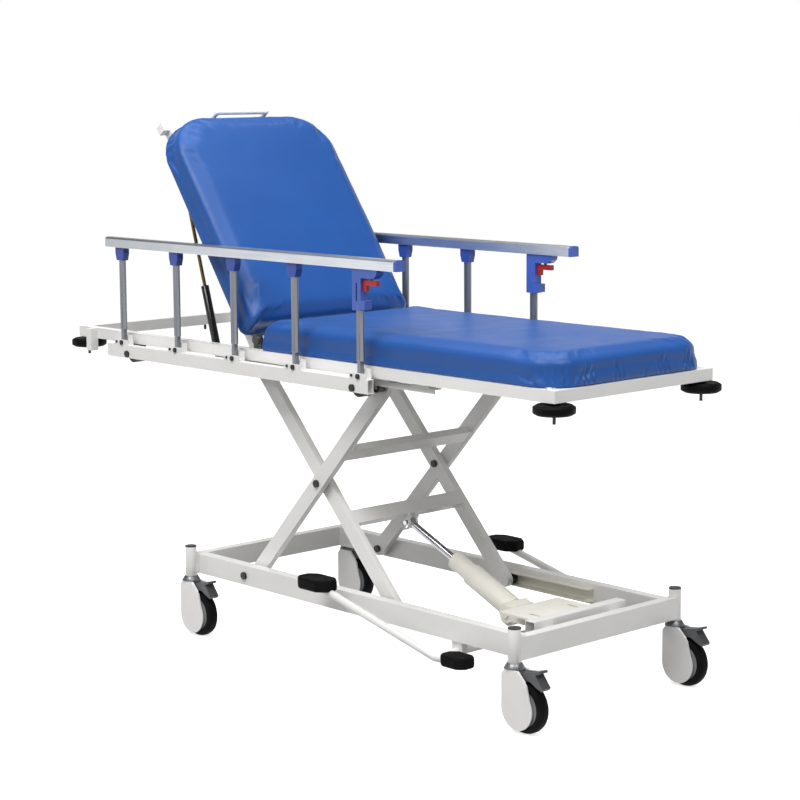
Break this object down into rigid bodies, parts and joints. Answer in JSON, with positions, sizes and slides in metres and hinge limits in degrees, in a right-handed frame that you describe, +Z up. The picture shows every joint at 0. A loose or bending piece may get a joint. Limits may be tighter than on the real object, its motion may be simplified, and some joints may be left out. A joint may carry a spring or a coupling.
{
  "type": "stretcher trolley",
  "caption": "Castored transfer stretcher: hydraulic scissor lift worked by foot pedals, hinged backrest with a gas spring, folding side rails and bumper wheels.",
  "frame": {"origin": "on the floor, under the middle of the bounding box", "axes": "+X towards the foot end, +Y across the stretcher, +Z up"},
  "size_m": [1.956, 0.754, 1.4384],
  "materials": {
    "frame": "gloss",
    "hood": "gloss",
    "dark": "satin",
    "steel": "satin",
    "black_bolt": "satin",
    "tyre": "matt",
    "rubber": "matt",
    "pump": "gloss",
    "chrome": "polished",
    "cover": "satin",
    "rail": "brushed",
    "latch": "satin",
    "trigger": "gloss",
    "spring": "satin"
  },
  "bodies": {
    "base": {"base_frame": "frame", "corner_posts": "frame", "post_caps_and_swivel_bearings": "dark", "low_roller_channels": "frame", "pump_bracket": "pump", "base_pivot_bolts": "black_bolt"},
    "castor_head_near": {"castor_hood_head_near": "hood"},
    "wheel_head_near": {"castor_wheel_head_near": "tyre"},
    "brake_head_near": {"castor_brake_head_near": "dark"},
    "castor_head_far": {"castor_hood_head_far": "hood"},
    "wheel_head_far": {"castor_wheel_head_far": "tyre"},
    "brake_head_far": {"castor_brake_head_far": "dark"},
    "castor_foot_near": {"castor_hood_foot_near": "hood"},
    "wheel_foot_near": {"castor_wheel_foot_near": "tyre"},
    "brake_foot_near": {"castor_brake_foot_near": "dark"},
    "castor_foot_far": {"castor_hood_foot_far": "hood"},
    "wheel_foot_far": {"castor_wheel_foot_far": "tyre"},
    "brake_foot_far": {"castor_brake_foot_far": "dark"},
    "outer_arms": {"outer_arms": "frame", "lift_mid_bolts": "black_bolt"},
    "inner_arms": {"inner_arms": "frame"},
    "top_rollers": {"top_rollers": "steel"},
    "low_rollers": {"low_rollers": "steel"},
    "pump": {"pump_body": "pump"},
    "pump_ram": {"pump_ram": "chrome"},
    "pedals": {"pedal_frame": "frame", "pedal_pads": "rubber"},
    "top": {"top_frame": "frame", "leg_deck": "frame", "leg_cushion": "cover", "lift_channels_top": "frame", "top_frame_fittings": "black_bolt", "iv_pole_socket": "frame", "backrest_hinges": "steel", "side_rail_bars": "frame"},
    "bumper_head_near": {"bumper_wheel_head_near": "rubber"},
    "bumper_foot_near": {"bumper_wheel_foot_near": "rubber"},
    "bumper_foot_far": {"bumper_wheel_foot_far": "rubber"},
    "backrest": {"backrest_frame": "frame", "back_cushion": "cover"},
    "gas_tube": {"gas_spring_tube": "spring"},
    "gas_rod": {"gas_spring_rod": "spring"},
    "post_far_1": {"rail_post_far_1": "rail"},
    "post_far_2": {"rail_post_far_2": "rail"},
    "post_far_3": {"rail_post_far_3": "rail"},
    "post_far_4": {"rail_post_far_4": "rail"},
    "post_far_5": {"rail_post_far_5": "rail"},
    "rail_far": {"side_rail_far": "rail", "rail_latch_far": "latch"},
    "trigger_far": {"rail_trigger_far": "trigger"},
    "post_near_1": {"rail_post_near_1": "rail"},
    "post_near_2": {"rail_post_near_2": "rail"},
    "post_near_3": {"rail_post_near_3": "rail"},
    "post_near_4": {"rail_post_near_4": "rail"},
    "post_near_5": {"rail_post_near_5": "rail"},
    "rail_near": {"side_rail_near": "rail", "rail_latch_near": "latch"},
    "trigger_near": {"rail_trigger_near": "trigger"}
  },
  "joints": [
    {"name": "castor_swivel_head_near", "type": "hinge", "parent": "base", "child": "castor_head_near", "pos_m": [-0.42, -0.289, 0.16], "axis": [0, 0, 1], "continuous": true},
    {"name": "wheel_spin_head_near", "type": "hinge", "parent": "castor_head_near", "child": "wheel_head_near", "pos_m": [-0.38, -0.289, 0.0625], "axis": [0, 1, 0], "continuous": true},
    {"name": "castor_brake_head_near", "type": "hinge", "parent": "castor_head_near", "child": "brake_head_near", "pos_m": [-0.386, -0.289, 0.137], "axis": [0, 1, 0], "range_deg": [0, 6]},
    {"name": "castor_swivel_head_far", "type": "hinge", "parent": "base", "child": "castor_head_far", "pos_m": [-0.42, 0.289, 0.16], "axis": [0, 0, 1], "continuous": true},
    {"name": "wheel_spin_head_far", "type": "hinge", "parent": "castor_head_far", "child": "wheel_head_far", "pos_m": [-0.38, 0.289, 0.0625], "axis": [0, 1, 0], "continuous": true},
    {"name": "castor_brake_head_far", "type": "hinge", "parent": "castor_head_far", "child": "brake_head_far", "pos_m": [-0.386, 0.289, 0.137], "axis": [0, 1, 0], "range_deg": [0, 6]},
    {"name": "castor_swivel_foot_near", "type": "hinge", "parent": "base", "child": "castor_foot_near", "pos_m": [0.83, -0.289, 0.16], "axis": [0, 0, 1], "continuous": true},
    {"name": "wheel_spin_foot_near", "type": "hinge", "parent": "castor_foot_near", "child": "wheel_foot_near", "pos_m": [0.87, -0.289, 0.0625], "axis": [0, 1, 0], "continuous": true},
    {"name": "castor_brake_foot_near", "type": "hinge", "parent": "castor_foot_near", "child": "brake_foot_near", "pos_m": [0.864, -0.289, 0.137], "axis": [0, 1, 0], "range_deg": [0, 6]},
    {"name": "castor_swivel_foot_far", "type": "hinge", "parent": "base", "child": "castor_foot_far", "pos_m": [0.83, 0.289, 0.16], "axis": [0, 0, 1], "continuous": true},
    {"name": "wheel_spin_foot_far", "type": "hinge", "parent": "castor_foot_far", "child": "wheel_foot_far", "pos_m": [0.87, 0.289, 0.0625], "axis": [0, 1, 0], "continuous": true},
    {"name": "castor_brake_foot_far", "type": "hinge", "parent": "castor_foot_far", "child": "brake_foot_far", "pos_m": [0.864, 0.289, 0.137], "axis": [0, 1, 0], "range_deg": [0, 6]},
    {"name": "lift", "type": "hinge", "parent": "base", "child": "outer_arms", "pos_m": [-0.205, 0, 0.1935], "axis": [0, -1, 0], "range_deg": [-25, 0]},
    {"name": "scissor", "type": "hinge", "parent": "outer_arms", "child": "inner_arms", "pos_m": [0.056, 0, 0.476], "axis": [0, -1, 0], "range_deg": [0, 50]},
    {"name": "top_level", "type": "hinge", "parent": "inner_arms", "child": "top", "pos_m": [-0.205, 0, 0.7585], "axis": [0, -1, 0], "range_deg": [-25, 0]},
    {"name": "top_rollers", "type": "hinge", "parent": "outer_arms", "child": "top_rollers", "pos_m": [0.317, 0, 0.7585], "axis": [0, 1, 0], "continuous": true},
    {"name": "low_rollers", "type": "hinge", "parent": "inner_arms", "child": "low_rollers", "pos_m": [0.317, 0, 0.1935], "axis": [0, 1, 0], "continuous": true},
    {"name": "pump_pivot", "type": "hinge", "parent": "base", "child": "pump", "pos_m": [0.556, 0, 0.183], "axis": [0, -1, 0], "range_deg": [0, 3.79]},
    {"name": "pump_ram", "type": "slide", "parent": "pump", "child": "pump_ram", "axis": [-0.9149, 0, 0.4037], "range_m": [-0.15803, 0]},
    {"name": "pedals", "type": "hinge", "parent": "base", "child": "pedals", "pos_m": [0.612, 0, 0.141], "axis": [0, 1, 0], "range_deg": [-20, 15]},
    {"name": "bumper_head_near", "type": "hinge", "parent": "top", "child": "bumper_head_near", "pos_m": [-0.928, -0.261, 0.765], "axis": [0, 0, 1], "continuous": true},
    {"name": "bumper_foot_near", "type": "hinge", "parent": "top", "child": "bumper_foot_near", "pos_m": [0.928, -0.261, 0.765], "axis": [0, 0, 1], "continuous": true},
    {"name": "bumper_foot_far", "type": "hinge", "parent": "top", "child": "bumper_foot_far", "pos_m": [0.928, 0.261, 0.765], "axis": [0, 0, 1], "continuous": true},
    {"name": "backrest", "type": "hinge", "parent": "top", "child": "backrest", "pos_m": [-0.15, 0, 0.838], "axis": [0, 1, 0], "range_deg": [-55, 5]},
    {"name": "gas_spring_pivot", "type": "hinge", "parent": "top", "child": "gas_tube", "pos_m": [-0.35, -0.238, 0.795], "axis": [0, 1, 0], "range_deg": [-72.29, 6.62]},
    {"name": "gas_spring_rod", "type": "slide", "parent": "gas_tube", "child": "gas_rod", "axis": [-0.2869, 0, 0.958], "range_m": [-0.14889, 0.01372]},
    {"name": "rail_fold_far", "type": "hinge", "parent": "top", "child": "post_far_1", "pos_m": [-0.6855, 0.308, 0.791], "axis": [0, 1, 0], "range_deg": [0, 80]},
    {"name": "rail_post_far_2", "type": "hinge", "parent": "top", "child": "post_far_2", "pos_m": [-0.4349, 0.308, 0.791], "axis": [0, 1, 0], "range_deg": [0, 80]},
    {"name": "rail_post_far_3", "type": "hinge", "parent": "top", "child": "post_far_3", "pos_m": [-0.1843, 0.308, 0.791], "axis": [0, 1, 0], "range_deg": [0, 80]},
    {"name": "rail_post_far_4", "type": "hinge", "parent": "top", "child": "post_far_4", "pos_m": [0.0663, 0.308, 0.791], "axis": [0, 1, 0], "range_deg": [0, 80]},
    {"name": "rail_post_far_5", "type": "hinge", "parent": "top", "child": "post_far_5", "pos_m": [0.3169, 0.308, 0.791], "axis": [0, 1, 0], "range_deg": [0, 80]},
    {"name": "rail_level_far", "type": "hinge", "parent": "post_far_1", "child": "rail_far", "pos_m": [-0.6855, 0.308, 1.062], "axis": [0, 1, 0], "range_deg": [-80, 0]},
    {"name": "rail_trigger_far", "type": "slide", "parent": "rail_far", "child": "trigger_far", "axis": [0, 0, 1], "range_m": [0, 0.0035], "stiffness_N_per_m": 300},
    {"name": "rail_fold_near", "type": "hinge", "parent": "top", "child": "post_near_1", "pos_m": [-0.6855, -0.308, 0.791], "axis": [0, 1, 0], "range_deg": [0, 80]},
    {"name": "rail_post_near_2", "type": "hinge", "parent": "top", "child": "post_near_2", "pos_m": [-0.4349, -0.308, 0.791], "axis": [0, 1, 0], "range_deg": [0, 80]},
    {"name": "rail_post_near_3", "type": "hinge", "parent": "top", "child": "post_near_3", "pos_m": [-0.1843, -0.308, 0.791], "axis": [0, 1, 0], "range_deg": [0, 80]},
    {"name": "rail_post_near_4", "type": "hinge", "parent": "top", "child": "post_near_4", "pos_m": [0.0663, -0.308, 0.791], "axis": [0, 1, 0], "range_deg": [0, 80]},
    {"name": "rail_post_near_5", "type": "hinge", "parent": "top", "child": "post_near_5", "pos_m": [0.3169, -0.308, 0.791], "axis": [0, 1, 0], "range_deg": [0, 80]},
    {"name": "rail_level_near", "type": "hinge", "parent": "post_near_1", "child": "rail_near", "pos_m": [-0.6855, -0.308, 1.062], "axis": [0, 1, 0], "range_deg": [-80, 0]},
    {"name": "rail_trigger_near", "type": "slide", "parent": "rail_near", "child": "trigger_near", "axis": [0, 0, 1], "range_m": [0, 0.0035], "stiffness_N_per_m": 300}
  ],
  "couplings": [
    {"joint": "scissor", "follows": "lift", "ratio": -2},
    {"joint": "top_level", "follows": "lift", "ratio": 1},
    {"joint": "pump_pivot", "follows": "lift", "ratio": -0.151},
    {"joint": "pump_ram", "follows": "lift", "m_per_rad": 0.36171},
    {"joint": "gas_spring_pivot", "follows": "backrest", "ratio": 1.3134},
    {"joint": "gas_spring_rod", "follows": "backrest", "m_per_rad": 0.1549},
    {"joint": "rail_post_far_2", "follows": "rail_fold_far", "ratio": 1},
    {"joint": "rail_post_far_3", "follows": "rail_fold_far", "ratio": 1},
    {"joint": "rail_post_far_4", "follows": "rail_fold_far", "ratio": 1},
    {"joint": "rail_post_far_5", "follows": "rail_fold_far", "ratio": 1},
    {"joint": "rail_level_far", "follows": "rail_fold_far", "ratio": -1},
    {"joint": "rail_post_near_2", "follows": "rail_fold_near", "ratio": 1},
    {"joint": "rail_post_near_3", "follows": "rail_fold_near", "ratio": 1},
    {"joint": "rail_post_near_4", "follows": "rail_fold_near", "ratio": 1},
    {"joint": "rail_post_near_5", "follows": "rail_fold_near", "ratio": 1},
    {"joint": "rail_level_near", "follows": "rail_fold_near", "ratio": -1}
  ]
}
